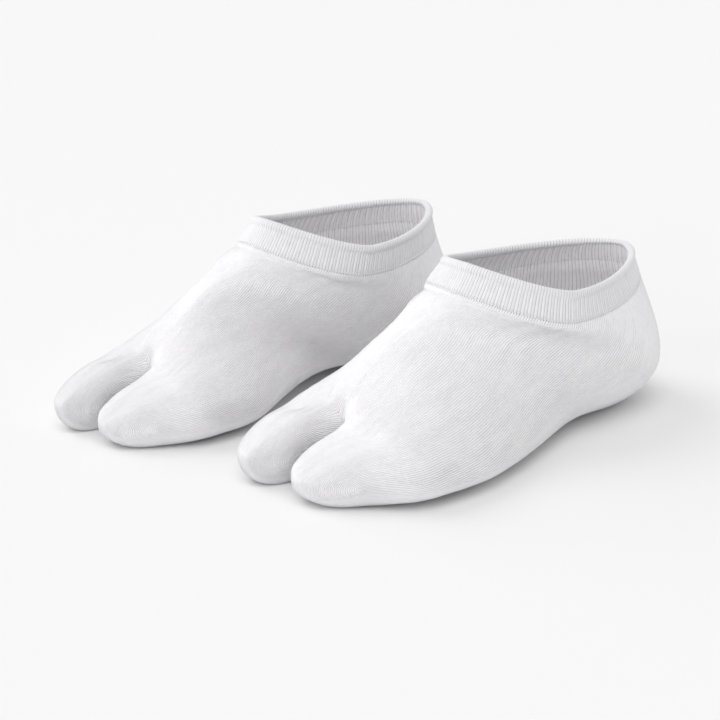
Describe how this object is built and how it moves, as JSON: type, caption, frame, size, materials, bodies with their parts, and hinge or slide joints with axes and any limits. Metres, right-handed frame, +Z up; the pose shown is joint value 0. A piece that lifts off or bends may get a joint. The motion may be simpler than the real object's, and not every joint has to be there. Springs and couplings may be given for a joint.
{
  "type": "pair of tabi socks",
  "caption": "Low-cut split-toe socks in plain white cotton knit with ribbed cuffs, filled out hollow and standing on their soles.",
  "frame": {"origin": "centre of the pair's bounding box, on the floor the soles stand on", "axes": "+Z up, toes towards -Y, each sock's little-toe side towards +X; the near sock of the picture is at +X"},
  "size_m": [0.212, 0.2518, 0.0869],
  "materials": {
    "cotton_knit": "matte fine plain knit",
    "cotton_rib": "matte 1x1 rib knit"
  },
  "bodies": {
    "root": {"sock_near_body": "cotton_knit", "sock_near_cuff": "cotton_rib", "sock_far_body": "cotton_knit", "sock_far_cuff": "cotton_rib"}
  },
  "joints": []
}
